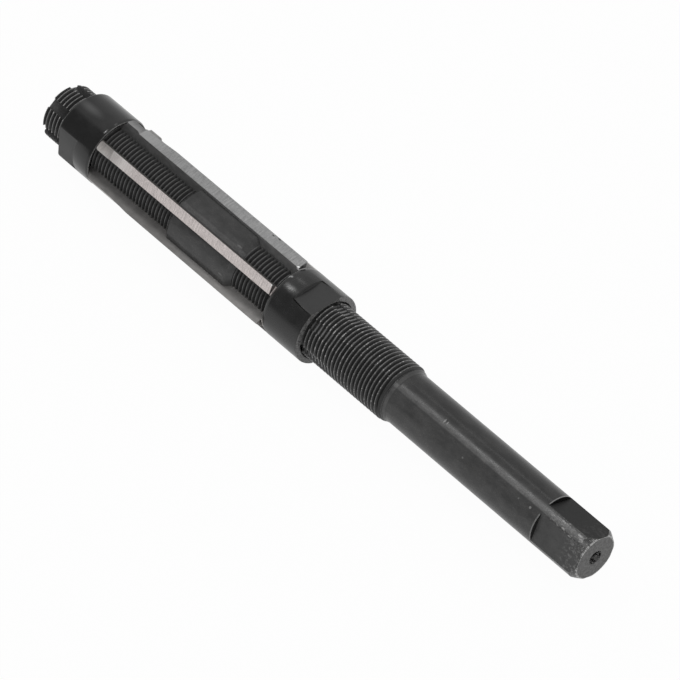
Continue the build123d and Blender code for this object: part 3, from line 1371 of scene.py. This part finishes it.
@dataclass
class Blade:
    """One blade: bevelled ends, a relieved top behind the cutting edge and a tapered foot."""

    number: int
    relieved_from_end: bool = False
    lead_start_height: float = 13.3
    lead_flat_end: float = 37.5
    lead_end: float = 46.0
    end_height: float = 12.9
    end_length: float = 7.1
    heel_front: float = 12.3
    heel_rear: float = 12.2
    run_out: float = 0.8
    front_ease: float = 0.8
    rear_ease: float = 0.3
    heel_ease: float = 0.12
    rings: tuple[float, ...] = (55.0, 65.0, 75.0, 85.0, 95.0, 105.0)

    @property
    def half(self) -> float:
        """Half of the blade's thickness."""
        return TOOL.blade_thickness / 2

    @property
    def front(self) -> float:
        """Station of the front end."""
        return TOOL.front_rim - TOOL.blade_end_depth

    @property
    def rear(self) -> float:
        """Station of the rear end."""
        return TOOL.rear_rim + TOOL.blade_end_depth

    @property
    def end_land_end(self) -> float:
        """Station where the unrelieved end stops."""
        return TOOL.front_rim + self.end_length

    def edge_height(self, station: float) -> float:
        """Height of the cutting edge at a station.

        Args:
            station: Station in millimetres from the tip face.

        Returns:
            The height over the axis.
        """
        full = math.sqrt(TOOL.cutting_radius ** 2 - self.half ** 2)
        share = (station - self.lead_flat_end) / (self.lead_end - self.lead_flat_end)
        return self.lead_start_height + (full - self.lead_start_height) * min(1.0, max(0.0, share))

    def top_height(self, station: float, side: float) -> float:
        """Height of the blade's top at a station and a sideways place.

        Args:
            station: Station in millimetres from the tip face.
            side: Sideways place, positive towards +Y.

        Returns:
            The height over the axis.
        """
        share = (station - self.end_land_end) / (self.rear - self.end_land_end)
        heel = self.heel_front + (self.heel_rear - self.heel_front) * share
        edge = self.edge_height(station)
        across = (self.half - side) / (2 * self.half)
        relieved = edge - (edge - heel) * across
        if self.relieved_from_end:
            return relieved
        start = self.end_land_end - self.run_out
        share = min(1.0, max(0.0, (station - start) / self.run_out))
        return self.end_height + (relieved - self.end_height) * share

    def solid(self) -> Mesh:
        """The closed blade, standing straight up over the axis.

        Returns:
            The closed mesh.
        """
        foot, top, gap = 0.05, 14.5, TOOL.blade_end_gap
        bevel_top = TOOL.bore_radius + TOOL.blade_end_depth
        outline = [
            (self.front, TOOL.floor_height(self.front) + foot),
            (self.rear, TOOL.floor_height(self.rear) + foot),
            (self.rear, TOOL.bore_radius),
            (TOOL.rear_rim - gap, bevel_top + gap),
            (TOOL.rear_rim - gap, top),
            (TOOL.front_rim + TOOL.blade_front_gap, top),
            (TOOL.front_rim + TOOL.blade_front_gap, bevel_top + TOOL.blade_front_gap),
            (self.front, TOOL.bore_radius),
        ]
        bm = Workshop.prism(outline, TOOL.blade_thickness)
        stations = [self.end_land_end - self.run_out, self.end_land_end, self.lead_flat_end, self.lead_end]
        for station in stations + list(self.rings):
            Workshop.trim(bm, (station, 0, 0), (1, 0, 0), keep=True)
        for vert in bm.verts:
            if vert.co.z > top - 0.1:
                vert.co.z = self.top_height(vert.co.x, vert.co.y)
        return bm

    def build(self) -> bpy.types.Object:
        """Builds and dresses the blade.

        Returns:
            The finished object.
        """
        bm = self.solid()
        Workshop.ease(bm, self.on_front_corner, self.front_ease, 4)
        Workshop.ease(bm, self.on_rear_corner, self.rear_ease, 2)
        Workshop.ease(bm, self.on_heel, self.heel_ease, 1)
        Workshop.turned_to(bm, TOOL.blade_angle(self.number - 1))
        node = f"blade_{self.number}"
        return Piece.place(bm, node, "ground_blade", [self.finish().build()], CRISP_BLADE)

    def finish(self) -> GroundBlade:
        """The blade's finish, with the painted light and shade that make each blade differ."""
        painted_tones = BLADE_PAINTED_LIGHT.get(self.number, {})
        return GroundBlade(f"ground_blade_{self.number}", TOOL.blade_angle(self.number - 1), **painted_tones)

    def upright_at(self, edge: Edge, station: float) -> bool:
        """Says whether an edge stands upright at a station, over the nuts' rims.

        Args:
            edge: The edge.
            station: Station in millimetres from the tip face.

        Returns:
            Whether it does.
        """
        first, second = edge.verts
        above = min(first.co.z, second.co.z) > TOOL.bore_radius + 1.0
        return above and Workshop.lies_at(edge, station) and abs(first.co.y - second.co.y) < SLIVER

    def on_front_corner(self, edge: Edge) -> bool:
        """Says whether an edge is an upright corner of the front end."""
        return self.upright_at(edge, TOOL.front_rim + TOOL.blade_front_gap)

    def on_rear_corner(self, edge: Edge) -> bool:
        """Says whether an edge is the upright heel corner of the rear end."""
        return self.upright_at(edge, TOOL.rear_rim - TOOL.blade_end_gap) and edge.verts[0].co.y < 0

    def on_heel(self, edge: Edge) -> bool:
        """Says whether an edge is the heel of the ground top."""
        low = all(abs(v.co.y + self.half) < SLIVER and v.co.z > self.heel_rear - 0.1 for v in edge.verts)
        return low and abs(edge.verts[0].co.x - edge.verts[1].co.x) > 0.1


@dataclass
class Studio:
    """Pale floor, soft light and the camera at the photograph's angle."""

    camera_place: Triple = (0.73542654, -0.62714343, 1.09922640)
    camera_right: Triple = (0.66098149, 0.75035183, -0.00869530)
    camera_up: Triple = (-0.55859997, 0.49973945, 0.66198682)
    camera_back: Triple = (0.50106840, -0.43270384, 0.74946504)
    lens: float = 257.26
    floor_white: float = 0.97
    floor_mirrored: float = 0.6
    shade_centre: Triple = (-0.25, -0.685, 0.685)
    shade_edge: tuple[float, float] = (0.72, 0.83)
    shade_strength: float = 0.32
    dome_strength: float = 0.86

    def floor(self) -> None:
        """Lays the pale floor, which keeps a faint shadow and looks white in gloss."""
        bm = bmesh.new()
        bmesh.ops.create_circle(bm, cap_ends=True, segments=64, radius=6.0)
        mesh = bpy.data.meshes.new("floor_mesh")
        bm.to_mesh(mesh)
        bm.free()
        obj = bpy.data.objects.new("floor", mesh)
        bpy.context.scene.collection.objects.link(obj)
        material = bpy.data.materials.new("floor_paper")
        mesh.materials.append(material)
        bench = NodeBench(material)
        paper = bench.add("BsdfDiffuse", grey(0.92))
        glow = bench.add("Emission", grey(1.0), 1.0)
        path = bench.add("LightPath").outputs
        seen = bench.times(path["Is Camera Ray"], self.floor_white)
        mirrored = bench.times(path["Is Glossy Ray"], self.floor_mirrored)
        share = bench.math("MAXIMUM", seen, mirrored)
        mix = bench.add("MixShader", share, paper.outputs[0], glow.outputs[0])
        bench.add("OutputMaterial", mix.outputs[0])

    def dome(self) -> None:
        """Sets the surroundings: white all round, with a grey patch over the camera's side."""
        world = bpy.data.worlds.new("studio_dome")
        bpy.context.scene.world = world
        bench = NodeBench(world)
        direction = bench.add("TexCoord").outputs["Generated"]
        toward = bench.add("VectorMath", direction, self.shade_centre, operation="DOT_PRODUCT")
        levels = (self.dome_strength, self.shade_strength)
        strength = bench.ramp(toward.outputs["Value"], *self.shade_edge, *levels)
        background = bench.add("Background")
        bench.feed(background.inputs["Strength"], strength)
        bench.add("OutputWorld", background.outputs[0])

    def lamp(self, name: str, place: Triple, size: tuple[float, float], power: float) -> None:
        """Hangs one soft lamp, level and long along the tool, facing down to it.

        Args:
            name: Name of the lamp.
            place: Its place.
            size: Its length along the tool and its width.
            power: Its power in watts.
        """
        data = bpy.data.lights.new(name, "AREA")
        data.shape = "RECTANGLE"
        data.size, data.size_y = size
        data.energy = power
        obj = bpy.data.objects.new(name, data)
        bpy.context.scene.collection.objects.link(obj)
        obj.location = place
        obj.rotation_euler = (-math.atan2(place[1], place[2]), 0, 0)

    def camera(self) -> None:
        """Places the camera where the photograph was taken."""
        data = bpy.data.cameras.new("camera")
        data.sensor_width = 36.0
        data.lens = self.lens
        data.clip_start = 0.01
        data.clip_end = 50.0
        obj = bpy.data.objects.new("camera", data)
        bpy.context.scene.collection.objects.link(obj)
        rotation = Matrix((self.camera_right, self.camera_up, self.camera_back)).transposed().to_4x4()
        obj.matrix_world = Matrix.Translation(self.camera_place) @ rotation
        bpy.context.scene.camera = obj

    def build(self) -> None:
        """Sets up the whole studio."""
        self.floor()
        self.dome()
        self.lamp("key_lamp", (-0.39, -0.075, 0.96), (0.18, 0.15), 1.0)
        self.lamp("fill_lamp", (-0.38, 0.49, 0.83), (0.16, 0.12), 0.15)
        self.camera()
        bpy.context.scene.view_settings.view_transform = "Standard"


def main() -> None:
    """Builds the pieces in order."""
    logging.basicConfig(level=logging.INFO, format="%(message)s")
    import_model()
    Studio().build()
    ReamerBody().build()
    # painted sheen: a soft lighter patch on the front nut
    sheen = ((13.8, -3.0, (7.5, 2.3, 3.0), 0.085),)
    ClampNut("front_nut", 9.45, -83.3, False, sheen, roughness=0.17).build()
    # painted glints on a burr of the rear nut's rim
    rim_glints = (
        (107.5, -4.0, (0.5, 0.8, 0.9), 0.5),
        (108.1, -2.2, (0.7, 0.6, 0.9), 0.45),
    )
    # the rear nut's skin is painted lighter than the front nut's
    ClampNut("rear_nut", 123.0, 2.2, True, rim_glints, roughness=0.23, tone=1.5).build()
    for number in range(1, TOOL.blade_count + 1):
        Blade(number, relieved_from_end=number in (5, 6)).build()


if __name__ == "__main__":
    main()
